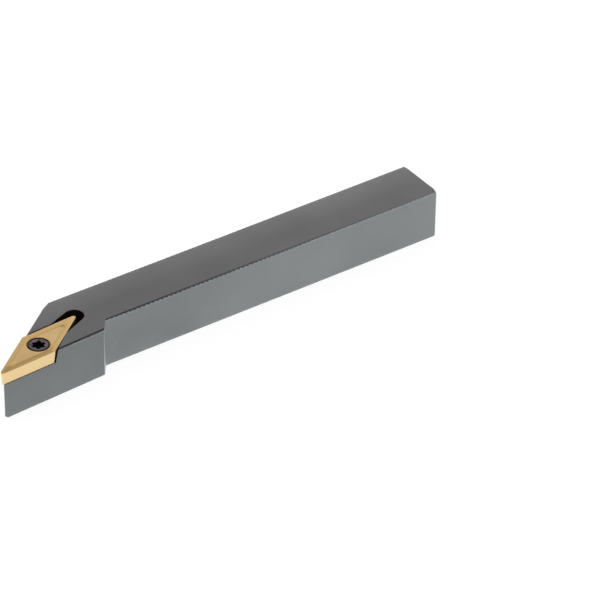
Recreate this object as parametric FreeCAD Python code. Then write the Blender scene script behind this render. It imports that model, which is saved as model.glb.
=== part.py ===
import FreeCAD, Part
import os
from math import cos, radians, sin, tan

# Right-hand turning tool holder for a lathe's tool post: a square steel shank whose
# head carries a 35 degree rhombic insert, held in its pocket by one countersunk screw.
# Millimetres. +X runs along the shank away from the cutting nose, +Y to the back side,
# +Z up. The origin lies on the shank's underside, midway along and across the tool.

# Shank
shank_height = 9.525
shank_width = 9.525
overall_length = 88.9
shank_edge_break = 0.3
back_edge_break = 0.55  # along the top of the back side
rear_front_radius = 0.55
rear_back_radius = 1.0

# Head
tip_offset = 12.7  # shank's back side to the cutting nose
head_length = 20.0  # cutting nose to the outer corner of the step
head_side_inset = 0.1  # head's front side behind the cutting edge
head_end_inset = 0.42  # head's end face behind the insert's end edge
head_back_radius = 5.0
head_edge_break = 0.15
head_nose_radius = 0.2
step_angle = 54.5
step_edge_radius = 0.4
entering_angle = 93.0  # cutting edge against the direction of cross feed

# Insert
inscribed_circle = 6.35
corner_angle = 35.0
insert_thickness = 2.38
flank_angle = 5.0
nose_radius = 0.4
blunt_corner_radius = 0.8
insert_drop = 0.2  # insert's top below the shank's top
pocket_clearance = 0.1
pocket_overrun = 6.0  # milling past the insert's nose

# Chip groove, moulded round the insert's top: a long slope down, a narrow flat and a
# short slope up
land_width = 0.1
groove_fall_width = 0.65
groove_floor_width = 0.1
groove_rise_width = 0.3
groove_depth = 0.17
groove_corner_radius = 0.35

# Insert's hole, its countersink, and the wider mouth that clears the screw's head
insert_hole_diameter = 2.8
countersink_diameter = 3.67  # of its cone where that would meet the insert's top
countersink_angle = 60.0
hole_mouth_diameter = 3.9
hole_mouth_depth = 0.3

# Relief slot that frees the insert's back corner
relief_width = 3.4
relief_setback = 1.15  # insert's sharp back corner to the centre of the slot's round end
relief_lead_in = 0.5  # slot's straight sides past the pocket walls, under the insert
relief_depth = 0.5  # below the insert's seat

# Clamping screw, with a six-lobe recess
thread_diameter = 2.5
thread_length = 3.9
thread_chamfer = 0.3
neck_diameter = 2.1
screw_head_diameter = 3.45
screw_lip = 0.15
screw_lip_chamfer = 0.07
head_seat_gap = 0.02
lobe_diameter = 2.4
waist_diameter = 1.72
lobe_tip_radius = 0.2
lobe_count = 6
recess_depth = 0.85
recess_point_depth = 0.25
recess_turn = 55.0
thread_clearance = 0.05  # radial, screw in its hole in the holder
hole_chamfer = 0.25

# Driving angles
lead_angle = entering_angle - 90.0
half_corner = radians(corner_angle / 2)
diagonal_angle = lead_angle + corner_angle / 2
end_angle = lead_angle + corner_angle

# Heights
insert_top = shank_height - insert_drop
seat_height = insert_top - insert_thickness

# The nose arc touches the tool's leftmost and foremost planes
tip_x = -overall_length / 2
tip_y = shank_width / 2 - tip_offset
nose_to_corner = nose_radius / sin(half_corner)
half_long_diagonal = inscribed_circle / 2 / sin(half_corner)


def direction(angle):
    """Unit vector in plan at an angle in degrees from +X."""
    return FreeCAD.Vector(cos(radians(angle)), sin(radians(angle)), 0)


nose_centre = FreeCAD.Vector(tip_x + nose_radius, tip_y + nose_radius, 0)
sharp_nose = nose_centre - direction(diagonal_angle) * nose_to_corner
insert_centre = sharp_nose + direction(diagonal_angle) * half_long_diagonal


def crossing(point_a, angle_a, point_b, angle_b):
    """Plan point where two lines, each a point and an angle, cross."""
    along_a = direction(angle_a)
    across_b = direction(angle_b + 90)
    return point_a + along_a * ((point_b - point_a).dot(across_b) / along_a.dot(across_b))


def rounded_outline(corners, height=0.0):
    """Closed wire through (point, radius) corners; an arc rounds each that has a radius."""
    rounded = []
    for index, (corner, radius) in enumerate(corners):
        back = (corners[index - 1][0] - corner).normalize()
        ahead = (corners[(index + 1) % len(corners)][0] - corner).normalize()
        half = back.getAngle(ahead) / 2
        start = corner + back * (radius / tan(half))
        end = corner + ahead * (radius / tan(half))
        middle = corner + (back + ahead).normalize() * (radius / sin(half) - radius)
        rounded.append((start, middle, end, radius > 0))
    edges = []
    for index, (start, middle, end, is_round) in enumerate(rounded):
        if is_round:
            edges.append(Part.Arc(start, middle, end).toShape())
        edges.append(Part.LineSegment(end, rounded[(index + 1) % len(rounded)][0]).toShape())
    outline = Part.Wire(edges)
    outline.translate(FreeCAD.Vector(0, 0, height))
    return outline


def rhombus(inset, corner_radius, height):
    """The insert's outline about its centre, moved in by inset; sharp corners on X."""
    inner_circle = inscribed_circle / 2 - inset
    long_half = inner_circle / sin(half_corner)
    short_half = inner_circle / cos(half_corner)
    blunt_radius = max(blunt_corner_radius - inset, corner_radius)
    corners = [
        (FreeCAD.Vector(-long_half, 0, 0), corner_radius),
        (FreeCAD.Vector(0, -short_half, 0), blunt_radius),
        (FreeCAD.Vector(long_half, 0, 0), corner_radius),
        (FreeCAD.Vector(0, short_half, 0), blunt_radius),
    ]
    return rounded_outline(corners, height)


def seated(shape):
    """Carry a shape from the insert's own frame, with its seat at zero, into the tool."""
    shape.Placement = FreeCAD.Placement(
        insert_centre + FreeCAD.Vector(0, 0, seat_height),
        FreeCAD.Rotation(FreeCAD.Vector(0, 0, 1), diagonal_angle),
    )
    return shape


def turned(profile):
    """Solid of revolution about Z from (radius, height) points, both ends on the axis."""
    points = [FreeCAD.Vector(radius, 0, height) for radius, height in profile]
    face = Part.Face(Part.makePolygon(points + points[:1]))
    return face.revolve(FreeCAD.Vector(0, 0, 0), FreeCAD.Vector(0, 0, 1), 360)


# Corners of the tool's outline in plan
side_point = sharp_nose + direction(lead_angle + 90) * head_side_inset
end_point = sharp_nose + direction(end_angle - 90) * head_end_inset
front_side = FreeCAD.Vector(0, -shank_width / 2, 0)
back_side = FreeCAD.Vector(0, shank_width / 2, 0)
step_line = FreeCAD.Vector(tip_x + head_length, 0, 0)

head_nose = crossing(side_point, lead_angle, end_point, end_angle)
step_outer = crossing(side_point, lead_angle, step_line, 90)
step_inner = crossing(step_outer, step_angle, front_side, 0)
head_back = crossing(end_point, end_angle, back_side, 0)
rear_front = FreeCAD.Vector(overall_length / 2, -shank_width / 2, 0)
rear_back = FreeCAD.Vector(overall_length / 2, shank_width / 2, 0)


def blank():
    """The tool's whole body before its pocket is milled, with its edges broken."""
    outline = rounded_outline([
        (head_nose, 0),
        (step_outer, step_edge_radius),
        (step_inner, 0),
        (rear_front, rear_front_radius),
        (rear_back, rear_back_radius),
        (head_back, head_back_radius),
    ])
    body = Part.Face(outline).extrude(FreeCAD.Vector(0, 0, shank_height))
    low = [edge for edge in body.Edges if edge.BoundBox.ZMax < shank_height / 2]
    high = [edge for edge in body.Edges if edge.BoundBox.ZMin > shank_height / 2]
    shank_high = [edge for edge in high if edge.BoundBox.XMax > step_inner.x + shank_width]
    body = body.makeChamfer(shank_edge_break, low + shank_high)
    body = body.cut(edge_wedge(head_nose, lead_angle, head_edge_break, (step_inner - head_nose).Length))
    body = body.cut(edge_wedge(rear_back, 180, back_edge_break, overall_length))
    return body.cut(nose_cutter())


def edge_wedge(corner, angle, width, length):
    """Cutter for a bevel along a top edge that leaves a plan corner at an angle."""
    inward = direction(angle + 90) * width
    up = FreeCAD.Vector(0, 0, width)
    top = corner + FreeCAD.Vector(0, 0, shank_height)
    section = Part.makePolygon([
        top + inward * 2 + up,
        top - inward - up * 2,
        top - inward + up,
        top + inward * 2 + up,
    ])
    return Part.Face(section).extrude(direction(angle) * length)


def nose_cutter():
    """Upright cutter that rounds off the head's leading corner, below the insert's nose."""
    to_side = direction(lead_angle) * (head_nose_radius / tan(half_corner))
    to_end = direction(end_angle) * (head_nose_radius / tan(half_corner))
    diagonal = direction(diagonal_angle)
    start = head_nose + to_side
    end = head_nose + to_end
    middle = head_nose + diagonal * (head_nose_radius / sin(half_corner) - head_nose_radius)
    outside = head_nose - diagonal
    outline = Part.Wire([
        Part.Arc(start, middle, end).toShape(),
        Part.LineSegment(end, outside).toShape(),
        Part.LineSegment(outside, start).toShape(),
    ])
    return Part.Face(outline).extrude(FreeCAD.Vector(0, 0, shank_height))


def pocket_cutter():
    """Cutter with the seat as its floor and two leaning walls along the insert's flanks."""
    reach = 2 * half_long_diagonal + pocket_overrun
    sections = []
    for height in (0.0, shank_height - seat_height):
        lean = (height - insert_thickness) * tan(radians(flank_angle))
        inner_circle = inscribed_circle / 2 + pocket_clearance + lean
        back_corner = FreeCAD.Vector(inner_circle / sin(half_corner), 0, height)
        half_span = FreeCAD.Vector(0, reach * tan(half_corner), 0)
        far = FreeCAD.Vector(reach, 0, 0)
        sections.append(Part.makePolygon([
            back_corner,
            back_corner - far + half_span,
            back_corner - far - half_span,
            back_corner,
        ]))
    return seated(Part.makeLoft(sections, True, True))


def relief_cutter():
    """Round-ended slot along the insert's diagonal, lower than the seat."""
    radius = relief_width / 2
    far_centre = half_long_diagonal - relief_setback
    near_centre = half_long_diagonal - radius / tan(half_corner) - relief_lead_in
    near_right = FreeCAD.Vector(near_centre, -radius, -relief_depth)
    far_right = FreeCAD.Vector(far_centre, -radius, -relief_depth)
    far_end = FreeCAD.Vector(far_centre + radius, 0, -relief_depth)
    far_left = FreeCAD.Vector(far_centre, radius, -relief_depth)
    near_left = FreeCAD.Vector(near_centre, radius, -relief_depth)
    near_end = FreeCAD.Vector(near_centre - radius, 0, -relief_depth)
    outline = Part.Wire([
        Part.LineSegment(near_right, far_right).toShape(),
        Part.Arc(far_right, far_end, far_left).toShape(),
        Part.LineSegment(far_left, near_left).toShape(),
        Part.Arc(near_left, near_end, near_right).toShape(),
    ])
    depth = shank_height - seat_height + relief_depth
    return seated(Part.Face(outline).extrude(FreeCAD.Vector(0, 0, depth)))


def screw_hole_cutter():
    """The screw's hole through the head, chamfered where it opens at both ends."""
    bore = thread_diameter / 2 + thread_clearance
    mouth = bore + hole_chamfer
    return seated(turned([
        (0, -seat_height),
        (mouth, -seat_height),
        (bore, -seat_height + hole_chamfer),
        (bore, -hole_chamfer),
        (mouth, 0),
        (0, 0),
    ]))


def holder():
    """Shank and head, one piece of steel with the insert's pocket milled into it."""
    body = blank()
    for cutter in (pocket_cutter(), relief_cutter(), screw_hole_cutter()):
        body = body.cut(cutter)
    return body


def chip_groove():
    """Ring cut into the insert's top: a slope down from the land, a flat and a slope up."""
    bottom = insert_thickness - groove_depth
    floor_start = land_width + groove_fall_width
    floor_end = floor_start + groove_floor_width
    outer = Part.makeLoft([
        rhombus(land_width, groove_corner_radius, insert_thickness),
        rhombus(floor_start, groove_corner_radius, bottom),
    ], True, True)
    island = Part.makeLoft([
        rhombus(floor_end + groove_rise_width, groove_corner_radius, insert_thickness),
        rhombus(floor_end, groove_corner_radius, bottom),
    ], True, True)
    return outer.cut(island)


def countersink_depth(radius):
    """Depth below the insert's top at which the countersink's cone has this radius."""
    return (countersink_diameter / 2 - radius) / tan(radians(countersink_angle / 2))


def cutting_insert():
    """Two-ended rhombic insert with sloping flanks, a chip groove and a screw seat."""
    bottom_inset = insert_thickness * tan(radians(flank_angle))
    bottom_radius = max(nose_radius - bottom_inset, nose_radius / 4)
    body = Part.makeLoft([
        rhombus(bottom_inset, bottom_radius, 0),
        rhombus(0, nose_radius, insert_thickness),
    ], True, True)
    bore = insert_hole_diameter / 2
    mouth = hole_mouth_diameter / 2
    ledge = countersink_diameter / 2 - hole_mouth_depth * tan(radians(countersink_angle / 2))
    screw_seat = turned([
        (0, 0),
        (bore, 0),
        (bore, insert_thickness - countersink_depth(bore)),
        (ledge, insert_thickness - hole_mouth_depth),
        (mouth, insert_thickness - hole_mouth_depth),
        (mouth, insert_thickness),
        (0, insert_thickness),
    ])
    return seated(body.cut(chip_groove()).cut(screw_seat))


def six_lobe_outline(height):
    """Driver recess: rounded lobes joined by tangent hollows, all of them arcs."""
    step = 360.0 / lobe_count
    tip_centre = lobe_diameter / 2 - lobe_tip_radius
    waist = waist_diameter / 2
    share = tip_centre * cos(radians(step / 2))
    hollow_radius = (
        (tip_centre ** 2 + waist ** 2 - 2 * share * waist - lobe_tip_radius ** 2)
        / (2 * (lobe_tip_radius - waist + share))
    )
    hollow_centre = waist + hollow_radius
    reach = lobe_tip_radius / (lobe_tip_radius + hollow_radius)

    def touch(lobe_angle, hollow_angle):
        """Point where a lobe's tip arc meets the hollow beside it."""
        lobe = direction(lobe_angle) * tip_centre
        hollow = direction(hollow_angle) * hollow_centre
        return lobe + (hollow - lobe) * reach

    edges = []
    for index in range(lobe_count):
        lobe_angle = index * step
        before = touch(lobe_angle, lobe_angle - step / 2)
        after = touch(lobe_angle, lobe_angle + step / 2)
        following = touch(lobe_angle + step, lobe_angle + step / 2)
        tip = direction(lobe_angle) * (lobe_diameter / 2)
        hollow = direction(lobe_angle + step / 2) * waist
        edges.append(Part.Arc(before, tip, after).toShape())
        edges.append(Part.Arc(after, hollow, following).toShape())
    outline = Part.Wire(edges)
    outline.rotate(FreeCAD.Vector(0, 0, 0), FreeCAD.Vector(0, 0, 1), recess_turn - diagonal_angle)
    outline.translate(FreeCAD.Vector(0, 0, height))
    return outline


def clamp_screw():
    """Countersunk screw, its thread a plain rod at the thread's outer diameter."""
    slope = tan(radians(countersink_angle / 2))
    head = screw_head_diameter / 2
    neck = neck_diameter / 2
    rod = thread_diameter / 2
    side_gap = head_seat_gap / cos(radians(countersink_angle / 2))
    cone_top = insert_thickness - countersink_depth(head + side_gap)
    top = cone_top + screw_lip
    neck_top = cone_top - (head - neck) / slope
    thread_end = -thread_length
    body = turned([
        (0, thread_end),
        (rod - thread_chamfer, thread_end),
        (rod, thread_end + thread_chamfer),
        (rod, -(rod - neck)),
        (neck, 0),
        (neck, neck_top),
        (head, cone_top),
        (head, top - screw_lip_chamfer),
        (head - screw_lip_chamfer, top),
        (0, top),
    ])
    recess = Part.Face(six_lobe_outline(top)).extrude(FreeCAD.Vector(0, 0, -recess_depth))
    recess_floor = top - recess_depth
    point = turned([
        (0, recess_floor - recess_point_depth),
        (waist_diameter / 2, recess_floor),
        (0, recess_floor),
    ])
    return seated(body.cut(recess).cut(point))


parts = {
    "holder": holder(),
    "cutting_insert": cutting_insert(),
    "clamp_screw": clamp_screw(),
}

os.makedirs("parts", exist_ok=True)
for name, shape in parts.items():
    shape.exportStep(f"parts/{name}.step")
    print(name, shape.isValid(), len(shape.Solids), round(shape.Volume, 3))
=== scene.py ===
from math import cos, pi, radians, sin, tan, tau

import bmesh
import bpy
from mathutils import Matrix, Vector


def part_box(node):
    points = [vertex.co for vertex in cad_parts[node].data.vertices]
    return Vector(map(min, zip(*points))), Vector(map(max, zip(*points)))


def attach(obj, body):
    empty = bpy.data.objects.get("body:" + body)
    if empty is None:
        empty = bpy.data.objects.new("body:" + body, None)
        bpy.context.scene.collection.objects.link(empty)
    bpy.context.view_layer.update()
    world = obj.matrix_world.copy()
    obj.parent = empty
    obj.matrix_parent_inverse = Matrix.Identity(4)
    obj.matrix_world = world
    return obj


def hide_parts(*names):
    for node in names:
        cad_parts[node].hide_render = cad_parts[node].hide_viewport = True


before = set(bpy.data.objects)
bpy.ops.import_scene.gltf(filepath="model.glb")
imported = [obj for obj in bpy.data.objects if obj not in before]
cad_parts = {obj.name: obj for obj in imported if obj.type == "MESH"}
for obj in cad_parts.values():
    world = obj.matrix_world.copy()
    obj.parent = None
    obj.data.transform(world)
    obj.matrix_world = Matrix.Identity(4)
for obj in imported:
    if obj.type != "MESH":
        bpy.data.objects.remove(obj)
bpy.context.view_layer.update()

# Lengths in this script are millimetres until they go into a mesh or onto an object
MM = 0.001


# Sizes

insert_low, insert_high = (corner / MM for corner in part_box("cutting_insert"))
screw_low, screw_high = (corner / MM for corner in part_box("clamp_screw"))
holder_low, holder_high = (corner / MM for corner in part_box("holder"))
seat = insert_low.z
shank_top = holder_high.z
screw_axis = (screw_low + screw_high) / 2
screw_axis.z = 0.0

# Rhombic insert of 35 degrees, lying with its long diagonal at 20.5 degrees to the shank,
# so that its front edge lies at 3 degrees and the pocket's long wall at 38 degrees
INSCRIBED_RADIUS = 3.175
INSERT_THICKNESS = 2.38
HALF_CORNER = radians(17.5)
FLANK_ANGLE = radians(5)
DIAGONAL = radians(20.5)
FRONT_EDGE = radians(3)
LONG_WALL = radians(38)
NOSE_RADIUS = 0.4
BLUNT_RADIUS = 0.8
SMALLEST_RADIUS = 0.35
FOOT_RADIUS = 0.1
CORNER_STEPS = 14
INSERT_BORE = 1.4
SEAT_CONE = 1.835
COUNTERSINK = radians(30)
INSERT_MOUTH = 1.95
MOUTH_DEPTH = 0.3
HONE = 0.03
FOOT_BREAK = 0.02

# Chip groove: the distance from the edge and the depth there
GROOVE = [
    (0.08, 0.002), (0.13, 0.012), (0.3, 0.055), (0.5, 0.108), (0.68, 0.152), (0.75, 0.166),
    (0.8, 0.17), (0.85, 0.166), (0.9, 0.148), (1.0, 0.088), (1.08, 0.04), (1.13, 0.012),
    (1.17, 0.0)]

# Clamp screw, M2.5 with a pitch of 0.45 mm, and its hole
PITCH = 0.45
ROD = 1.25
ROOT = 0.974
NECK = 1.05
HEAD = 1.725
LIP = 0.15
TIP_TAPER = 0.3
HOLE = 1.3
HOLE_CHAMFER = 0.25
HOLE_LAND = 0.05
TAPPED_CREST = 1.04
TAPPED_ROOT = 1.29
LOBES = 6
LOBE_TIP = 1.2
LOBE_WAIST = 0.86
LOBE_RADIUS = 0.2
RECESS_TURN = radians(55)
RECESS_DEPTH = 0.85
RECESS_POINT = 0.25
POINT_RADIUS = 0.08

# Steps of a full turn
STEPS = 60

# Marks of the milling cutter along the bevels: their spacing, how far they bite down and in,
# and how much of the bite is left on the head and at the shank's end
FEED = 0.89
BITE_DOWN = 0.23
BITE_IN = 0.05
LEAST_BITE = 0.25

# The bevels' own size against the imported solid, on the head and on the shank
HEAD_DEEPER = 0.12
HEAD_WIDER = 0.03
SHANK_NARROWER = 0.15
SHANK_SHALLOWER = 0.13

# Places along X: where the step meets the shank, the length over which the bites grow behind
# it, where they begin to fade, over what length, and the shank's end
STEP_X = -23.5
GROWING = 5.0
FADE_X = 12.0
FADING = 13.0
END_X = 44.0

# The pocket's long wall: its outward normal, where its front end lies, how far that end moves
# back at the seat and at the top, and how much earlier the slot starts
WALL_NORMAL = Vector((-0.613, 0.785, 0.087))
WALL_FRONT_Y = -7.0
BACK_AT_SEAT = 0.25
BACK_AT_TOP = 0.4
SLOT_EARLIER = 0.8

# Rounded corners: the way each looks in plan, the tilts of its cuts and their depth
NOSE_FOOT = ((-0.8, -0.3), (-0.35, -0.75, -1.4), 0.17)
REAR_TOP = ((0.8, -0.5), (0.35, 0.75, 1.4), 0.16)

# A milled bevel is at least this long, and its lower edge lies this far under the top or more
MILLED_LENGTH = 5.0
LOWER_EDGE = 0.1

# Every other edge of the holder that is sharper and longer than this is broken by this much
SHARP = radians(25)
BROKEN_LENGTH = 0.02
EDGE_BREAK = 0.05

# The relief slot behind the insert lies in this ball
SLOT_CENTRE = (-26.6, -0.8, 8.0)
SLOT_RADIUS = 3.4

# Creases stay sharp above these angles. The holder's lies under the angle between the narrow
# bevel and the side, so that the bites keep their edges.
CREASE = 35
HOLDER_CREASE = 17

# Closeness: of points to be welded, of heights in a thread or a bevel, of heights elsewhere,
# of a point to a cut, and of the slopes and directions of faces
WELD = 0.002
NEAR = 0.001
LEVEL = 0.01
CUT = 0.0001
SAME_SLOPE = 0.01
SAME_WAY = 0.03


# Small tools

def linear(code):
    """An sRGB hex colour as linear red, green, blue and an alpha of one."""
    channels = [int(code[i:i + 2], 16) / 255 for i in (1, 3, 5)]
    return tuple(
        c / 12.92 if c <= 0.04045 else ((c + 0.055) / 1.055) ** 2.4 for c in channels) + (1.0,)


def add_node(tree, kind, settings, links=()):
    """Add a shader node, set its fields and sockets, and link the sources to its inputs."""
    node = tree.nodes.new("ShaderNode" + kind)
    for name, value in settings.items():
        if isinstance(name, str) and hasattr(node, name):
            setattr(node, name, value)
        else:
            node.inputs[name].default_value = value
    for name, source in dict(links).items():
        tree.links.new(source, node.inputs[name])
    return node


def set_stops(ramp, stops):
    """Give a colour ramp its stops, each a position and a hex colour."""
    while len(ramp.color_ramp.elements) < len(stops):
        ramp.color_ramp.elements.new(1.0)
    for element, (position, code) in zip(ramp.color_ramp.elements, stops):
        element.position = position
        element.color = linear(code)


def piece_from(bm, name, material, body, replaced, crease=CREASE):
    """Turn a bmesh in millimetres into a finished piece that rides on a body."""
    bmesh.ops.recalc_face_normals(bm, faces=bm.faces)
    bmesh.ops.scale(bm, vec=(MM, MM, MM), verts=bm.verts)
    mesh = bpy.data.meshes.new(name)
    bm.to_mesh(mesh)
    bm.free()
    mesh.materials.append(material)
    mesh.shade_smooth()
    mesh.set_sharp_from_angle(angle=radians(crease))
    piece = bpy.data.objects.new(name, mesh)
    bpy.context.scene.collection.objects.link(piece)
    shading = piece.modifiers.new("even_shading", "WEIGHTED_NORMAL")
    shading.keep_sharp = True
    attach(piece, body)
    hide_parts(replaced)


def merged_copy(node):
    """The node's loose triangles as a bmesh in millimetres: welded, flat faces made whole."""
    bm = bmesh.new()
    bm.from_mesh(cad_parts[node].data)
    bmesh.ops.scale(bm, vec=(1 / MM, 1 / MM, 1 / MM), verts=bm.verts)
    bmesh.ops.remove_doubles(bm, verts=bm.verts, dist=WELD)
    bmesh.ops.dissolve_limit(bm, angle_limit=radians(0.5), verts=bm.verts, edges=bm.edges)
    return bm


def last_vertex(spun):
    """The vertex at the far end of a spin of one vertex."""
    return [v for v in spun["geom_last"] if isinstance(v, bmesh.types.BMVert)][0]


# Outlines

def rhombus_ring(bm, inset, height, nose, blunt):
    """Ring of the insert's outline, moved in by inset, with rounded corners."""
    inner = INSCRIBED_RADIUS - inset
    long_half = inner / sin(HALF_CORNER)
    short_half = inner / cos(HALF_CORNER)
    corners = [
        (Vector((-long_half, 0, height)), nose),
        (Vector((0, -short_half, height)), blunt),
        (Vector((long_half, 0, height)), nose),
        (Vector((0, short_half, height)), blunt),
    ]
    known = set(bm.edges)
    ends = []
    for i, (corner, radius) in enumerate(corners):
        back = (corners[i - 1][0] - corner).normalized()
        ahead = (corners[(i + 1) % 4][0] - corner).normalized()
        half = back.angle(ahead) / 2
        centre = corner + (back + ahead).normalized() * (radius / sin(half))
        start = bm.verts.new(corner + back * (radius / tan(half)))
        spun = bmesh.ops.spin(
            bm, geom=[start], cent=centre, axis=(0, 0, 1), angle=pi - 2 * half,
            steps=CORNER_STEPS)
        ends.append((start, last_vertex(spun)))
    for i in range(4):
        bm.edges.new((ends[i][1], ends[(i + 1) % 4][0]))
    return [e for e in bm.edges if e not in known]


def circle_ring(bm, radius, height):
    """Ring of edges on a circle about the piece's own axis."""
    known = set(bm.edges)
    bmesh.ops.create_circle(
        bm, cap_ends=False, segments=STEPS, radius=radius,
        matrix=Matrix.Translation((0, 0, height)))
    return [e for e in bm.edges if e not in known]


def six_lobe_ring(bm, height, grow):
    """Ring of the driver recess: lobe tips joined by tangent hollows, grown outwards by grow."""
    tip_centre = LOBE_TIP - LOBE_RADIUS
    share = tip_centre * cos(pi / LOBES)
    hollow = (tip_centre ** 2 + LOBE_WAIST ** 2 - 2 * share * LOBE_WAIST - LOBE_RADIUS ** 2) \
        / (2 * (LOBE_RADIUS - LOBE_WAIST + share))
    hollow_centre = LOBE_WAIST + hollow
    known = set(bm.edges)
    steps_each = STEPS // LOBES // 2
    for i in range(LOBES):
        angle = i * tau / LOBES + RECESS_TURN
        lobe = Vector((cos(angle), sin(angle), 0)) * tip_centre
        sides = [
            Vector((cos(a), sin(a), 0)) * hollow_centre
            for a in (angle - pi / LOBES, angle + pi / LOBES)]
        reach = (LOBE_RADIUS + grow) / (LOBE_RADIUS + hollow)
        before, after = (lobe + (side - lobe) * reach for side in sides)
        opening = (before - lobe).angle(after - lobe)
        if (before - lobe).cross(after - lobe).z < 0:
            opening = tau - opening
        start = bm.verts.new(before + Vector((0, 0, height)))
        spun = bmesh.ops.spin(
            bm, geom=[start], cent=lobe, axis=(0, 0, 1), angle=opening, steps=steps_each)
        following = Matrix.Rotation(tau / LOBES, 3, "Z") @ before
        closing = (after - sides[1]).angle(following - sides[1])
        bmesh.ops.spin(
            bm, geom=[last_vertex(spun)], cent=sides[1], axis=(0, 0, 1), angle=-closing,
            steps=steps_each)
    ring = [e for e in bm.edges if e not in known]
    verts = list({v for e in ring for v in e.verts})
    bmesh.ops.remove_doubles(bm, verts=verts, dist=WELD)
    return [e for e in bm.edges if e not in known]


def bridged(bm, rings):
    """Skin a row of rings, each joined to the next."""
    for low, high in zip(rings, rings[1:]):
        bmesh.ops.bridge_loops(bm, edges=low + high)


# The pieces

def thread(bm, low, high, crest, root, end_low, end_high, fade, flat_crest, flat_root, phase):
    """A screw thread as rows that climb one pitch a turn, gathered to plain rings at both ends.

    crest and root are radii, end_low and end_high the radii of the rings, and fade the height
    over which the thread runs out into them. flat_crest and flat_root are half the heights of
    the flats, and phase is the share of a pitch by which the crests are raised.
    """
    rows = []
    count = int((high - low) / PITCH) + 3
    for k in range(-2, count):
        middle = low + (k + phase) * PITCH
        rows.append((middle - flat_crest, crest))
        rows.append((middle + flat_crest, crest))
        rows.append((middle + PITCH / 2 - flat_root, root))
        rows.append((middle + PITCH / 2 + flat_root, root))
    verts = [bm.verts.new((radius, 0, z)) for z, radius in rows]
    edges = [bm.edges.new(pair) for pair in zip(verts, verts[1:])]
    known = set(bm.verts) - set(verts)
    bmesh.ops.spin(
        bm, geom=verts + edges, cent=(0, 0, 0), axis=(0, 0, 1), angle=tau, steps=STEPS,
        dvec=(0, 0, PITCH / STEPS), use_merge=False)
    grid = [v for v in bm.verts if v not in known]
    bmesh.ops.remove_doubles(bm, verts=grid, dist=NEAR)
    grid = [v for v in bm.verts if v not in known]
    for v in grid:
        radius = Vector((v.co.x, v.co.y)).length
        z = min(max(v.co.z, low), high)
        near_low = max(0.0, 1 - (z - low) / fade)
        near_high = max(0.0, 1 - (high - z) / fade)
        wanted = radius + (end_low - radius) * near_low + (end_high - radius) * near_high
        v.co.x *= wanted / radius
        v.co.y *= wanted / radius
        v.co.z = z
    bmesh.ops.remove_doubles(bm, verts=grid, dist=NEAR)
    bmesh.ops.dissolve_degenerate(bm, dist=NEAR / 2, edges=bm.edges)
    rims = [e for e in bm.edges if e.is_boundary]
    lower = [e for e in rims if all(abs(v.co.z - low) < NEAR for v in e.verts)]
    upper = [e for e in rims if all(abs(v.co.z - high) < NEAR for v in e.verts)]
    return lower, upper


def cutter_marks(bm, face):
    """Scallop a bevel along a top edge: the milling cutter left a bite at every step of feed.

    The bites reach into the planes of the top and of the side, so both stay flat. Then the
    strip's own edges move to the size that the bevel has on the head or on the shank.
    """
    longest = max(face.edges, key=lambda e: e.calc_length())
    run = (longest.verts[1].co - longest.verts[0].co).normalized()
    inward = -Vector((face.normal.x, face.normal.y, 0)).normalized()
    reach = sorted(v.co.dot(run) for v in face.verts)
    cuts = 2 * int((reach[-1] - reach[0]) / FEED)
    geom = [face] + list(face.edges) + list(face.verts)
    bitten = []
    for k in range(1, cuts):
        place = run * (reach[0] + k * FEED / 2)
        halves = bmesh.ops.bisect_plane(bm, geom=geom, dist=CUT, plane_co=place, plane_no=run)
        geom = halves["geom"]
        if k % 2:
            bitten += [v for v in halves["geom_cut"] if isinstance(v, bmesh.types.BMVert)]
    for v in bitten:
        bite = LEAST_BITE
        if v.co.x > STEP_X:
            bite = min(1.0, max(LEAST_BITE, 1 - (v.co.x - FADE_X) / FADING))
            bite *= min(1.0, (v.co.x - STEP_X) / GROWING)
        if v.co.z > shank_top - NEAR:
            v.co += inward * BITE_IN * bite
        else:
            v.co.z -= BITE_DOWN * bite
    strip = {f for f in geom if isinstance(f, bmesh.types.BMFace)}
    for v in {v for f in strip for v in f.verts}:
        on_shank = v.co.x > STEP_X or v.co.y > 0
        endward = max(0.0, v.co.x / END_X)
        if v.co.z > shank_top - NEAR:
            v.co -= inward * (SHANK_NARROWER * (1 + endward / 2) if on_shank else -HEAD_WIDER)
        elif v.co.z < shank_top - LOWER_EDGE:
            v.co.z += SHANK_SHALLOWER if on_shank else -HEAD_DEEPER
    return strip


def opened_pocket(bm):
    """Lean the pocket's long wall back at its front end, where it clears the insert's corner,
    and start the slot a little earlier along that wall."""
    along_edge = Vector((cos(FRONT_EDGE), sin(FRONT_EDGE), 0))
    along_wall = Vector((cos(LONG_WALL), sin(LONG_WALL), 0))
    for v in bm.verts:
        on_wall = any((f.normal - WALL_NORMAL).length < SAME_WAY for f in v.link_faces)
        if on_wall and v.co.y < WALL_FRONT_Y:
            v.co += along_edge * (BACK_AT_SEAT if v.co.z < seat + LEVEL else BACK_AT_TOP)
        elif on_wall and v.co.z > shank_top - LEVEL:
            v.co -= along_wall * SLOT_EARLIER


def rounded_corner(bm, sideways, tilts, depth):
    """Round a corner of the block with small cuts across it, each more tilted than the last."""
    for tilt in tilts:
        outward = Vector((sideways[0], sideways[1], tilt)).normalized()
        furthest = max(v.co.dot(outward) for v in bm.verts)
        geom = list(bm.verts) + list(bm.edges) + list(bm.faces)
        cut = bmesh.ops.bisect_plane(
            bm, geom=geom, dist=CUT, plane_co=outward * (furthest - depth), plane_no=outward,
            clear_outer=True)
        rim = [e for e in cut["geom_cut"] if isinstance(e, bmesh.types.BMEdge)]
        bmesh.ops.holes_fill(bm, edges=rim, sides=0)


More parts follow.
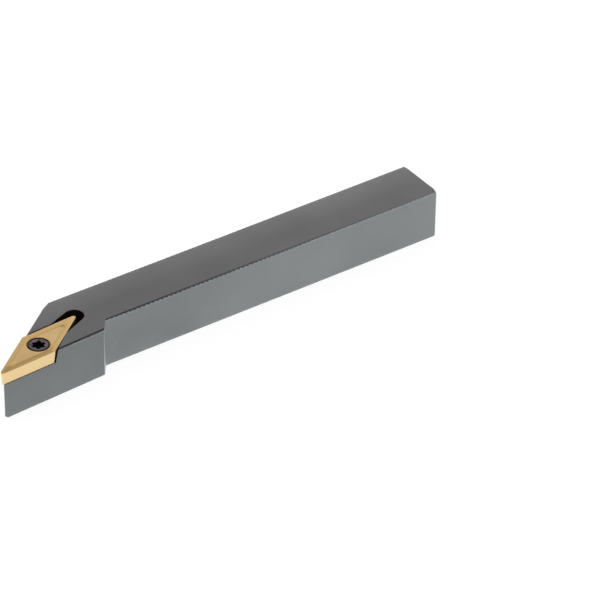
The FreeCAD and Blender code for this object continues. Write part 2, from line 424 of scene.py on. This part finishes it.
def tapped_hole(bm, rims):
    """Put a tapped wall between the open rims that are left where the plain wall was."""
    foot_rim = [e for e in rims if all(v.co.z < seat / 2 for v in e.verts)]
    seat_rim = [e for e in rims if e not in foot_rim]
    tapped = bmesh.new()
    low = HOLE_CHAMFER + HOLE_LAND
    high = seat - HOLE_CHAMFER - HOLE_LAND
    between_crests = ((screw_low.z + PITCH / 2 - low) / PITCH) % 1
    thread(
        tapped, low, high, crest=TAPPED_CREST, root=TAPPED_ROOT, end_low=TAPPED_ROOT,
        end_high=TAPPED_ROOT, fade=0.3, flat_crest=0.06, flat_root=0.038, phase=between_crests)
    bmesh.ops.translate(tapped, vec=screw_axis, verts=tapped.verts)
    mesh = bpy.data.meshes.new("tapped_hole")
    tapped.to_mesh(mesh)
    tapped.free()
    bm.from_mesh(mesh)
    bpy.data.meshes.remove(mesh)
    open_edges = rims + [e for e in bm.edges if e.is_boundary and e not in rims]
    for height, rim in ((low, foot_rim), (high, seat_rim)):
        end = [e for e in open_edges if all(abs(v.co.z - height) < NEAR for v in e.verts)]
        bmesh.ops.bridge_loops(bm, edges=rim + end)


def steel_holder():
    """Shank and head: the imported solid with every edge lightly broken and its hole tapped."""
    bm = merged_copy("holder")
    opened_pocket(bm)
    for corner in (NOSE_FOOT, REAR_TOP):
        rounded_corner(bm, *corner)

    # The long bevels at 45 degrees along the front and back sides carry the cutter's marks
    milled = [
        f for f in bm.faces
        if abs(f.normal.z - cos(pi / 4)) < SAME_SLOPE and abs(f.normal.y) > 0.7
        and max(e.calc_length() for e in f.edges) > MILLED_LENGTH]
    marked = set()
    for face in milled:
        marked |= cutter_marks(bm, face)

    # Every other edge is broken, except those of the seat
    sharp = [
        e for e in bm.edges
        if len(e.link_faces) == 2 and e.calc_face_angle() > SHARP
        and e.calc_length() > BROKEN_LENGTH
        and not marked.intersection(e.link_faces)
        and not all(abs(v.co.z - seat) < LEVEL for v in e.verts)]
    bmesh.ops.bevel(
        bm, geom=sharp, offset=EDGE_BREAK, offset_type="OFFSET", segments=2, profile=0.5,
        affect="EDGES", clamp_overlap=True, material=-1, loop_slide=True)

    # The plain wall of the hole makes way for a tapped one
    bore = [
        f for f in bm.faces
        if abs(f.normal.z) < 0.1 and f.calc_area() > 0.1
        and all((v.co.xy - screw_axis.xy).length < HOLE + 0.004 for v in f.verts)]
    bmesh.ops.delete(bm, geom=bore, context="FACES")
    tapped_hole(bm, [e for e in bm.edges if e.is_boundary])
    return bm


def gold_insert():
    """Rhombic insert: sloping flanks, honed edge, moulded chip groove and a screw seat."""
    bm = bmesh.new()
    foot = INSERT_THICKNESS * tan(FLANK_ANGLE)
    levels = [
        (foot + FOOT_BREAK, 0.0),
        (foot - FOOT_BREAK * tan(FLANK_ANGLE), FOOT_BREAK),
        (HONE * tan(FLANK_ANGLE), INSERT_THICKNESS - HONE),
        (HONE * 0.35, INSERT_THICKNESS - HONE * 0.3),
        (HONE, INSERT_THICKNESS),
    ]
    levels += [(inset, INSERT_THICKNESS - depth) for inset, depth in GROOVE]
    rings = []
    for inset, height in levels:
        upper_half = height > INSERT_THICKNESS / 2
        nose = max(NOSE_RADIUS - inset, SMALLEST_RADIUS if upper_half else FOOT_RADIUS)
        blunt = max(BLUNT_RADIUS - inset, nose)
        rings.append(rhombus_ring(bm, inset, height, nose, blunt))
    bridged(bm, rings)

    # The hole from its foot up: bore, cone, ledge and rounded mouth, as radius and depth
    cone_foot = (SEAT_CONE - INSERT_BORE) / tan(COUNTERSINK)
    ledge = SEAT_CONE - MOUTH_DEPTH * tan(COUNTERSINK)
    seat_rings = [
        circle_ring(bm, radius, INSERT_THICKNESS - depth) for radius, depth in [
            (INSERT_BORE + 0.05, INSERT_THICKNESS), (INSERT_BORE, INSERT_THICKNESS - 0.05),
            (INSERT_BORE, cone_foot), (ledge, MOUTH_DEPTH),
            (INSERT_MOUTH - 0.12, MOUTH_DEPTH - 0.01), (INSERT_MOUTH - 0.05, MOUTH_DEPTH - 0.05),
            (INSERT_MOUTH - 0.02, MOUTH_DEPTH - 0.12), (INSERT_MOUTH, 0.02),
            (INSERT_MOUTH + 0.02, 0.0)]]
    bridged(bm, seat_rings)
    bmesh.ops.triangle_fill(bm, edges=rings[0] + seat_rings[0], use_dissolve=True)
    bmesh.ops.triangle_fill(bm, edges=rings[-1] + seat_rings[-1], use_dissolve=True)
    bmesh.ops.rotate(
        bm, cent=(0, 0, 0), matrix=Matrix.Rotation(DIAGONAL, 3, "Z"), verts=bm.verts)
    bmesh.ops.translate(bm, vec=screw_axis + Vector((0, 0, seat)), verts=bm.verts)
    return bm


def clamp_screw():
    """Countersunk screw with a real thread, a rolled lip and a six-lobe recess."""
    bm = bmesh.new()
    tip = screw_low.z - seat
    top = screw_high.z - seat
    cone_top = top - LIP
    neck_top = cone_top - (HEAD - NECK) / tan(COUNTERSINK)
    lower, upper = thread(
        bm, tip, 0.0, crest=ROD, root=ROOT, end_low=ROD - TIP_TAPER, end_high=NECK, fade=0.32,
        flat_crest=PITCH / 16, flat_root=PITCH / 8, phase=0.0)

    # Neck, cone, lip and softened rim, as radius and height
    rings = [upper] + [
        circle_ring(bm, radius, height) for radius, height in [
            (NECK, neck_top - 0.05), (NECK + 0.03, neck_top + 0.04),
            (HEAD - 0.02, cone_top - 0.035), (HEAD, cone_top + 0.01),
            (HEAD, top - 0.11), (HEAD - 0.02, top - 0.055), (HEAD - 0.06, top - 0.02),
            (HEAD - 0.12, top), (HEAD - 0.3, top - 0.004)]]
    bridged(bm, rings)

    # Recess with a rounded mouth, as depth and widening, and the drill point under it
    recess = [
        six_lobe_ring(bm, top - depth, grow) for depth, grow in [
            (0.004, 0.11), (0.03, 0.07), (0.07, 0.03), (0.13, 0.0), (RECESS_DEPTH, 0.0)]]
    point = [
        circle_ring(bm, LOBE_WAIST - 0.02, top - RECESS_DEPTH),
        circle_ring(bm, POINT_RADIUS, top - RECESS_DEPTH - RECESS_POINT),
    ]
    bridged(bm, recess)
    bridged(bm, point)
    bmesh.ops.triangle_fill(bm, edges=rings[-1] + recess[0], use_dissolve=True)
    bmesh.ops.triangle_fill(bm, edges=recess[-1] + point[0], use_dissolve=True)
    bmesh.ops.holes_fill(bm, edges=point[-1], sides=0)
    bmesh.ops.holes_fill(bm, edges=lower, sides=0)
    bmesh.ops.translate(bm, vec=screw_axis + Vector((0, 0, seat)), verts=bm.verts)
    return bm


# Materials

def metal(name):
    """A new metal: its material, tree and shader, object coordinates, and those in millimetres."""
    material = bpy.data.materials.new(name)
    material.use_nodes = True
    tree = material.node_tree
    tree.nodes.clear()
    shader = add_node(tree, "BsdfPrincipled", {"Metallic": 1.0})
    add_node(tree, "OutputMaterial", {}, {"Surface": shader.outputs["BSDF"]})
    place = add_node(tree, "TexCoord", {})
    in_mm = add_node(
        tree, "Mapping", {"Scale": (1 / MM, 1 / MM, 1 / MM)}, {"Vector": place.outputs["Object"]})
    return material, tree, shader, place, in_mm


def product(tree, sockets):
    """The sockets multiplied with each other, as one socket."""
    result = sockets[0]
    for factor in sockets[1:]:
        times = add_node(tree, "Math", {"operation": "MULTIPLY"}, {0: result, 1: factor})
        result = times.outputs[0]
    return result


def blackened_steel():
    """Alloy steel, milled and ground, then blackened in a hot bath: a satin grey with faint
    grinding lines. The bevels are milled, with the cutter's marks, and their grey is darkest at
    the head and lighter towards the shank's end. The slot is painted brown-black as shade, and
    the step and the end's own edge carry painted highlights. The top carries painted light
    towards its back edge, and the shank's side walls carry painted light that makes them
    lighter than the head's. A few bright nicks show where the black has been knocked off.

    The levels of grey and how they change over the tool follow the photograph. Where a change
    isn't named here as painted light or shade, its cause isn't known.
    """
    material, tree, shader, place, in_mm = metal("blackened_steel")
    facing = add_node(tree, "SeparateXYZ", {}, {"Vector": place.outputs["Normal"]})
    where = add_node(tree, "SeparateXYZ", {}, {"Vector": in_mm.outputs["Vector"]})
    upright = add_node(tree, "Math", {"operation": "ABSOLUTE"}, {0: facing.outputs["Z"]})

    # Side walls, bevels and top, told apart by how far they look up
    finish = add_node(tree, "ValToRGB", {}, {"Fac": upright.outputs[0]})
    set_stops(finish, [(0.12, "#878b8b"), (0.2, "#5c5c5f"), (0.86, "#5c5c5f"), (0.95, "#838384")])

    # The top is lighter towards the shank's end, and towards its back edge by painted light
    endwards = add_node(
        tree, "MapRange", {"From Min": -25, "From Max": 44, "To Min": 0.97, "To Max": 1.16},
        {"Value": where.outputs["X"]})
    back_edge_light = add_node(
        tree, "MapRange", {"From Min": -1.0, "From Max": 4.3, "To Max": 0.3},
        {"Value": where.outputs["Y"]})
    on_top = product(tree, [back_edge_light.outputs["Result"], upright.outputs[0]])
    top_level = add_node(
        tree, "Math", {"operation": "ADD"}, {0: endwards.outputs["Result"], 1: on_top})

    # Painted light: the shank's side walls are lighter than the head's, against the shade the head
    # puts on them
    painted_side_light = add_node(
        tree, "MapRange", {"From Min": -24.6, "From Max": -23.6, "To Min": 0.95, "To Max": 1.11},
        {"Value": where.outputs["X"]})
    is_top = add_node(
        tree, "MapRange", {"From Min": 0.42, "From Max": 0.6}, {"Value": upright.outputs[0]})
    flat_level = add_node(tree, "Mix", {"data_type": "FLOAT"}, {
        0: is_top.outputs["Result"], 2: painted_side_light.outputs["Result"], 3: top_level.outputs[0]})

    # The bevels grow lighter towards the shank's end, and the end's own edge is lightest as a
    # painted highlight
    along = add_node(
        tree, "MapRange", {"From Min": -27, "From Max": 40, "To Min": 0.7, "To Max": 1.9},
        {"Value": where.outputs["X"]})
    end_edge_highlight = add_node(
        tree, "MapRange", {"From Min": 43.9, "From Max": 44.15, "To Max": 1.6},
        {"Value": where.outputs["X"]})
    bevel_level = add_node(
        tree, "Math", {"operation": "ADD"},
        {0: along.outputs["Result"], 1: end_edge_highlight.outputs["Result"]})
    is_bevel = add_node(
        tree, "Math", {"operation": "COMPARE", 1: 0.53, 2: 0.36}, {0: upright.outputs[0]})
    level = add_node(tree, "Mix", {"data_type": "FLOAT"}, {
        0: is_bevel.outputs[0], 2: flat_level.outputs[0], 3: bevel_level.outputs[0]})
    levelled = add_node(
        tree, "VectorMath", {"operation": "SCALE"},
        {"Vector": finish.outputs["Color"], "Scale": level.outputs[0]})

    # The grey varies softly over about 14 mm
    cloud = add_node(
        tree, "TexNoise", {"Scale": 1 / 14, "Detail": 2.0}, {"Vector": in_mm.outputs["Vector"]})
    clouding = add_node(tree, "ValToRGB", {}, {"Fac": cloud.outputs["Fac"]})
    set_stops(clouding, [(0.3, "#f0f0f0"), (0.7, "#ffffff")])
    clouded = add_node(
        tree, "MixRGB", {"blend_type": "MULTIPLY", "Fac": 1.0},
        {"Color1": levelled.outputs["Vector"], "Color2": clouding.outputs["Color"]})

    # Nicks up to 0.4 mm wide, where the centre of a cell of 3.4 mm lies in the surface, in
    # one cell out of five
    cells = add_node(tree, "TexVoronoi", {"Scale": 1 / 3.4}, {"Vector": in_mm.outputs["Vector"]})
    spot = add_node(
        tree, "Math", {"operation": "LESS_THAN", 1: 0.055}, {0: cells.outputs["Distance"]})
    pick = add_node(tree, "SeparateColor", {}, {"Color": cells.outputs["Color"]})
    chosen = add_node(
        tree, "Math", {"operation": "GREATER_THAN", 1: 0.8}, {0: pick.outputs["Red"]})
    nick = product(tree, [spot.outputs[0], chosen.outputs[0]])
    nicked = add_node(
        tree, "MixRGB", {"Color2": linear("#a4aaa9")},
        {"Fac": nick, "Color1": clouded.outputs["Color"]})

    # The step to the head carries a painted highlight on its face and on the edge that turns into
    # it
    facing_end = add_node(
        tree, "MapRange", {"From Min": 0.12, "From Max": 0.35}, {"Value": facing.outputs["X"]})
    at_step = add_node(
        tree, "Math", {"operation": "LESS_THAN", 1: -20.0}, {0: where.outputs["X"]})
    in_front = add_node(
        tree, "Math", {"operation": "LESS_THAN", 1: -4.8}, {0: where.outputs["Y"]})
    step = product(tree, [facing_end.outputs["Result"], at_step.outputs[0], in_front.outputs[0]])
    step_highlighted = add_node(
        tree, "MixRGB", {"Color2": linear("#c0c3c3")},
        {"Fac": step, "Color1": nicked.outputs["Color"]})

    # Fine specks of 0.3 mm, taken as knocks: on the side walls low down and close under the
    # top, and on the top along its back edge
    low_edge = add_node(
        tree, "MapRange", {"From Min": 0.9, "From Max": 0.25}, {"Value": where.outputs["Z"]})
    high_edge = add_node(
        tree, "MapRange", {"From Min": 8.8, "From Max": 9.2}, {"Value": where.outputs["Z"]})
    back_edge = add_node(
        tree, "MapRange", {"From Min": 3.5, "From Max": 4.4}, {"Value": where.outputs["Y"]})
    on_side = add_node(
        tree, "Math", {"operation": "COMPARE", 1: 0.0, 2: 0.15}, {0: facing.outputs["Z"]})
    on_flat = add_node(
        tree, "Math", {"operation": "GREATER_THAN", 1: 0.9}, {0: facing.outputs["Z"]})
    either = add_node(
        tree, "Math", {"operation": "MAXIMUM"},
        {0: low_edge.outputs["Result"], 1: high_edge.outputs["Result"]})
    side_edges = product(tree, [either.outputs[0], on_side.outputs[0]])
    top_edge = product(tree, [back_edge.outputs["Result"], on_flat.outputs[0]])
    near_edge = add_node(tree, "Math", {"operation": "MAXIMUM"}, {0: side_edges, 1: top_edge})
    dust = add_node(
        tree, "TexNoise", {"Scale": 1 / 0.3, "Detail": 2.0}, {"Vector": in_mm.outputs["Vector"]})
    speck = add_node(
        tree, "MapRange", {"From Min": 0.52, "From Max": 0.62, "To Max": 0.4},
        {"Value": dust.outputs["Fac"]})
    knocked = product(tree, [near_edge.outputs[0], speck.outputs["Result"]])
    specked = add_node(
        tree, "MixRGB", {"Color2": linear("#c4c8c8")},
        {"Fac": knocked, "Color1": step_highlighted.outputs["Color"]})

    # Painted shade: down in the slot behind the insert the steel is brown-black
    from_slot = add_node(
        tree, "VectorMath", {"operation": "DISTANCE", 1: SLOT_CENTRE},
        {0: in_mm.outputs["Vector"]})
    in_slot = add_node(
        tree, "Math", {"operation": "LESS_THAN", 1: SLOT_RADIUS},
        {0: from_slot.outputs["Value"]})
    below_top = add_node(
        tree, "Math", {"operation": "LESS_THAN", 1: shank_top - 0.06}, {0: where.outputs["Z"]})
    inside = product(tree, [in_slot.outputs[0], below_top.outputs[0]])
    slot_shaded = add_node(
        tree, "MixRGB", {"Color2": linear("#574540")},
        {"Fac": inside, "Color1": specked.outputs["Color"]})
    tree.links.new(slot_shaded.outputs["Color"], shader.inputs["Base Color"])

    # Grinding lines run along the shank, about 0.2 mm apart, over grain of 0.12 mm. Real ones
    # are too fine to show and are drawn this coarse.
    stretch = add_node(
        tree, "Mapping", {"Scale": (0.04, 5, 5)}, {"Vector": in_mm.outputs["Vector"]})
    lines = add_node(
        tree, "TexNoise", {"Scale": 1.0, "Detail": 3.0}, {"Vector": stretch.outputs["Vector"]})
    grain = add_node(
        tree, "TexNoise", {"Scale": 1 / 0.12, "Detail": 2.0}, {"Vector": in_mm.outputs["Vector"]})
    relief = add_node(
        tree, "Math", {"operation": "MULTIPLY_ADD", 1: 0.6},
        {0: lines.outputs["Fac"], 2: grain.outputs["Fac"]})
    bump = add_node(
        tree, "Bump", {"Strength": 0.35, "Distance": 0.012 * MM}, {"Height": relief.outputs[0]})
    rough = add_node(
        tree, "MapRange", {"From Min": 0.3, "From Max": 0.7, "To Min": 0.4, "To Max": 0.5},
        {"Value": grain.outputs["Fac"]})
    tree.links.new(bump.outputs["Normal"], shader.inputs["Normal"])
    tree.links.new(rough.outputs["Result"], shader.inputs["Roughness"])
    return material


def gold_coated_carbide():
    """Sintered carbide with a titanium nitride coat: matt gold over a fine pressed grain,
    with painted shade down in the moulded groove and round the screw, and painted light on the
    ground flanks."""
    material, tree, shader, place, in_mm = metal("gold_coated_carbide")
    facing = add_node(tree, "SeparateXYZ", {}, {"Vector": place.outputs["Normal"]})
    where = add_node(tree, "SeparateXYZ", {}, {"Vector": in_mm.outputs["Vector"]})
    on_top = add_node(
        tree, "MapRange", {"From Min": 0.5, "From Max": 0.8}, {"Value": facing.outputs["Z"]})

    # The gold varies over about 1.8 mm, and is darker towards the nose as in the photograph:
    # painted light that grows towards the shank
    cloud = add_node(
        tree, "TexNoise", {"Scale": 1 / 1.8, "Detail": 3.0}, {"Vector": in_mm.outputs["Vector"]})
    coat = add_node(tree, "ValToRGB", {}, {"Fac": cloud.outputs["Fac"]})
    set_stops(coat, [(0.3, "#e4c189"), (0.7, "#efcd94")])
    lengthwise_light = add_node(
        tree, "MapRange", {"From Min": -43.0, "From Max": -31.0, "To Min": 0.89, "To Max": 1.06},
        {"Value": where.outputs["X"]})
    graded = add_node(
        tree, "VectorMath", {"operation": "SCALE"},
        {"Vector": coat.outputs["Color"], "Scale": lengthwise_light.outputs["Result"]})

    # Painted shade in the groove, and painted light on the flanks
    depth = add_node(
        tree, "MapRange", {"From Min": insert_high.z, "From Max": insert_high.z - 0.18},
        {"Value": where.outputs["Z"]})
    in_groove = product(tree, [depth.outputs["Result"], on_top.outputs["Result"]])
    shaded = add_node(
        tree, "MixRGB", {"Color2": linear("#e2bf82")},
        {"Fac": in_groove, "Color1": graded.outputs["Vector"]})
    # Painted light: the flanks are lighter than the top
    flank = add_node(
        tree, "MapRange", {"From Min": 0.5, "From Max": 0.1}, {"Value": facing.outputs["Z"]})
    ground = add_node(
        tree, "MixRGB", {"Color2": linear("#f2d7a3")},
        {"Fac": flank.outputs["Result"], "Color1": shaded.outputs["Color"]})

    # Painted shade: behind the front edge the groove's floor and inner slope are browner
    inward = add_node(
        tree, "VectorMath",
        {"operation": "DOT_PRODUCT", 1: (-sin(FRONT_EDGE), cos(FRONT_EDGE), 0)},
        {0: in_mm.outputs["Vector"]})
    in_front = add_node(
        tree, "MapRange", {"From Min": -4.1, "From Max": -4.35}, {"Value": inward.outputs["Value"]})
    uphill = add_node(
        tree, "MapRange", {"From Min": 0.22, "From Max": 0.08}, {"Value": facing.outputs["Y"]})
    low_down = add_node(
        tree, "MapRange",
        {"From Min": insert_high.z - 0.005, "From Max": insert_high.z - 0.06},
        {"Value": where.outputs["Z"]})
    front_groove_shade = product(
        tree, [node.outputs["Result"] for node in (low_down, in_front, uphill, on_top)])
    front_groove_shaded = add_node(
        tree, "MixRGB", {"Color2": linear("#cca96b")},
        {"Fac": front_groove_shade, "Color1": ground.outputs["Color"]})

    # Painted shade in the gap round the screw's head
    from_screw = add_node(
        tree, "VectorMath",
        {"operation": "DISTANCE", 1: (screw_axis.x, screw_axis.y, insert_high.z - 0.3)},
        {0: in_mm.outputs["Vector"]})
    near_screw = add_node(
        tree, "Math", {"operation": "LESS_THAN", 1: INSERT_MOUTH + 0.015},
        {0: from_screw.outputs["Value"]})
    gap_depth = add_node(
        tree, "MapRange",
        {"From Min": insert_high.z - 0.01, "From Max": insert_high.z - 0.06},
        {"Value": where.outputs["Z"]})
    screw_gap_shade = product(tree, [near_screw.outputs[0], gap_depth.outputs["Result"]])
    screw_gap_shaded = add_node(
        tree, "MixRGB", {"Color2": linear("#86683f")},
        {"Fac": screw_gap_shade, "Color1": front_groove_shaded.outputs["Color"]})
    tree.links.new(screw_gap_shaded.outputs["Color"], shader.inputs["Base Color"])

    # Pressed grain, drawn at 0.06 mm because the real one is too fine to show
    grain = add_node(
        tree, "TexNoise", {"Scale": 1 / 0.06, "Detail": 3.0}, {"Vector": in_mm.outputs["Vector"]})
    bump = add_node(
        tree, "Bump", {"Strength": 0.3, "Distance": 0.006 * MM}, {"Height": grain.outputs["Fac"]})
    rough = add_node(
        tree, "MapRange", {"From Min": 0.3, "From Max": 0.7, "To Min": 0.36, "To Max": 0.46},
        {"Value": grain.outputs["Fac"]})
    tree.links.new(bump.outputs["Normal"], shader.inputs["Normal"])
    tree.links.new(rough.outputs["Result"], shader.inputs["Roughness"])
    return material


def dark_screw_steel():
    """Cold-headed screw steel, hardened and blackened: dark with a warm violet cast, with painted
    shade on the rim of the head and a nearly black painted shade down in the recess."""
    material, tree, shader, _, in_mm = metal("dark_screw_steel")
    where = add_node(tree, "SeparateXYZ", {}, {"Vector": in_mm.outputs["Vector"]})

    # The oxide's tint varies over about 0.6 mm
    cloud = add_node(
        tree, "TexNoise", {"Scale": 1 / 0.6, "Detail": 3.0, "Roughness": 0.6},
        {"Vector": in_mm.outputs["Vector"]})
    oxide = add_node(tree, "ValToRGB", {}, {"Fac": cloud.outputs["Fac"]})
    set_stops(oxide, [(0.36, "#4a4340"), (0.46, "#646560"), (0.54, "#77697a"), (0.64, "#8c7d79")])

    # Painted shade in the recess and on the rim
    depth = add_node(
        tree, "MapRange", {"From Min": screw_high.z - 0.02, "From Max": screw_high.z - 0.2},
        {"Value": where.outputs["Z"]})
    recess_shaded = add_node(
        tree, "MixRGB", {"Color2": linear("#2b2628")},
        {"Fac": depth.outputs["Result"], "Color1": oxide.outputs["Color"]})
    in_plan = add_node(
        tree, "VectorMath", {"operation": "MULTIPLY", 1: (1, 1, 0)}, {0: in_mm.outputs["Vector"]})
    radius = add_node(
        tree, "VectorMath", {"operation": "DISTANCE", 1: (screw_axis.x, screw_axis.y, 0)},
        {0: in_plan.outputs["Vector"]})
    # Painted shade: the rim of the head is darker
    rim = add_node(
        tree, "MapRange", {"From Min": HEAD - 0.24, "From Max": HEAD - 0.1},
        {"Value": radius.outputs["Value"]})
    rim_shaded = add_node(
        tree, "MixRGB", {"Color2": linear("#3f3a31")},
        {"Fac": rim.outputs["Result"], "Color1": recess_shaded.outputs["Color"]})
    tree.links.new(rim_shaded.outputs["Color"], shader.inputs["Base Color"])

    # Grain, drawn at 0.08 mm because the real one is too fine to show
    grain = add_node(
        tree, "TexNoise", {"Scale": 1 / 0.08, "Detail": 2.0}, {"Vector": in_mm.outputs["Vector"]})
    bump = add_node(
        tree, "Bump", {"Strength": 0.3, "Distance": 0.006 * MM}, {"Height": grain.outputs["Fac"]})
    tree.links.new(bump.outputs["Normal"], shader.inputs["Normal"])
    shader.inputs["Roughness"].default_value = 0.38
    return material


piece_from(
    steel_holder(), "steel_holder", blackened_steel(), "holder", "holder",
    HOLDER_CREASE)
piece_from(
    gold_insert(), "gold_insert", gold_coated_carbide(), "insert",
    "cutting_insert")
piece_from(clamp_screw(), "screw", dark_screw_steel(), "screw", "clamp_screw")


# Floor, light and camera

def studio_floor():
    """White paper: shown to the camera and in reflections as nearly its own light, so that it
    stays white and keeps a soft shadow. It is clear from below, so the underside can be seen."""
    material = bpy.data.materials.new("white_paper")
    material.use_nodes = True
    tree = material.node_tree
    tree.nodes.clear()
    fibre = add_node(tree, "TexNoise", {"Scale": 900.0, "Detail": 2.0})
    paper = add_node(tree, "ValToRGB", {}, {"Fac": fibre.outputs["Fac"]})
    set_stops(paper, [(0.3, "#f8f8f8"), (0.7, "#fcfcfc")])
    lit = add_node(tree, "BsdfDiffuse", {}, {"Color": paper.outputs["Color"]})
    glow = add_node(tree, "Emission", {"Color": linear("#f3f3f3"), "Strength": 1.0})
    faint = add_node(tree, "BsdfDiffuse", {"Color": linear("#7c7c7c")})
    bright = add_node(tree, "AddShader", {}, {0: glow.outputs[0], 1: faint.outputs[0]})
    ray = add_node(tree, "LightPath", {})
    seen = add_node(
        tree, "Math", {"operation": "MAXIMUM"},
        {0: ray.outputs["Is Camera Ray"], 1: ray.outputs["Is Glossy Ray"]})
    also = add_node(
        tree, "Math", {"operation": "MAXIMUM"},
        {0: seen.outputs[0], 1: ray.outputs["Is Transmission Ray"]})
    both = add_node(
        tree, "MixShader", {}, {0: also.outputs[0], 1: lit.outputs[0], 2: bright.outputs[0]})
    side = add_node(tree, "NewGeometry", {})
    clear = add_node(tree, "BsdfTransparent", {})
    sheet = add_node(
        tree, "MixShader", {},
        {0: side.outputs["Backfacing"], 1: both.outputs[0], 2: clear.outputs[0]})
    add_node(tree, "OutputMaterial", {}, {"Surface": sheet.outputs[0]})
    half_width, gap_under_tool = 3000, 0.03
    bm = bmesh.new()
    bmesh.ops.create_grid(bm, x_segments=1, y_segments=1, size=half_width * MM)
    bmesh.ops.translate(bm, vec=(0, 0, (holder_low.z - gap_under_tool) * MM), verts=bm.verts)
    mesh = bpy.data.meshes.new("floor")
    bm.to_mesh(mesh)
    bm.free()
    mesh.materials.append(material)
    floor = bpy.data.objects.new("floor", mesh)
    bpy.context.scene.collection.objects.link(floor)


def studio_light():
    """A white room, dimmer overhead and above the photographer, dark in the corner behind the
    tool's end, with one large soft box high behind the tool.

    The levels follow the brightness in the photograph. What the real room was like isn't known.
    """
    world = bpy.data.worlds.new("white_room")
    world.use_nodes = True
    tree = world.node_tree
    tree.nodes.clear()
    around = add_node(tree, "TexCoord", {})
    up = add_node(tree, "SeparateXYZ", {}, {"Vector": around.outputs["Generated"]})
    room = add_node(tree, "ValToRGB", {}, {"Fac": up.outputs["Z"]})
    set_stops(room, [
        (0.0, "#e8e8e8"), (0.2, "#e2e2e2"), (0.5, "#e8e8e8"), (0.68, "#e2e2e2"),
        (0.85, "#dadada"), (1.0, "#c0c0c0")])
    levels = []
    for direction, start, end, least in (
        ((0.3, -0.85, 0.43), 0.3, 0.9, 0.8),
        ((0.72, 0.69, 0.0), 0.81, 0.93, 0.12),
    ):
        towards = add_node(
            tree, "VectorMath", {"operation": "DOT_PRODUCT", 1: direction},
            {0: around.outputs["Generated"]})
        level = add_node(
            tree, "MapRange",
            {"interpolation_type": "SMOOTHSTEP", "From Min": start, "From Max": end,
             "To Min": 1.0, "To Max": least},
            {"Value": towards.outputs["Value"]})
        levels.append(level.outputs["Result"])
    glow = add_node(
        tree, "Background", {}, {"Color": room.outputs["Color"], "Strength": product(tree, levels)})
    add_node(tree, "OutputWorld", {}, {"Surface": glow.outputs[0]})
    bpy.context.scene.world = world
    place, width, power = Vector((-500, 900, 1200)), 1200, 2.5
    lamp = bpy.data.lights.new("high_box", "AREA")
    lamp.shape = "SQUARE"
    lamp.size = width * MM
    lamp.energy = power
    box = bpy.data.objects.new("high_box", lamp)
    box.location = place * MM
    box.rotation_mode = "QUATERNION"
    box.rotation_quaternion = (-box.location).to_track_quat("-Z", "Y")
    bpy.context.scene.collection.objects.link(box)


def camera_at_photo():
    """The photograph's camera: long lens, from the front and left, above the tool."""
    aim = Vector((10.29, -12.55, 4.76))
    distance, azimuth, elevation, roll, lens = 616.2, 35.469, 35.527, 0.851, 222.6
    ahead = Vector((
        sin(radians(azimuth)) * cos(radians(elevation)),
        cos(radians(azimuth)) * cos(radians(elevation)),
        -sin(radians(elevation))))
    data = bpy.data.cameras.new("camera")
    data.sensor_width = 36
    data.lens = lens
    data.clip_start, data.clip_end = 0.01, 20
    camera = bpy.data.objects.new("camera", data)
    camera.location = (aim - ahead * distance) * MM
    camera.rotation_mode = "QUATERNION"
    turn = Matrix.Rotation(radians(roll), 4, "Z").to_quaternion()
    camera.rotation_quaternion = ahead.to_track_quat("-Z", "Y") @ turn
    bpy.context.scene.collection.objects.link(camera)
    bpy.context.scene.camera = camera


studio_floor()
studio_light()
camera_at_photo()
bpy.context.scene.view_settings.view_transform = "Standard"
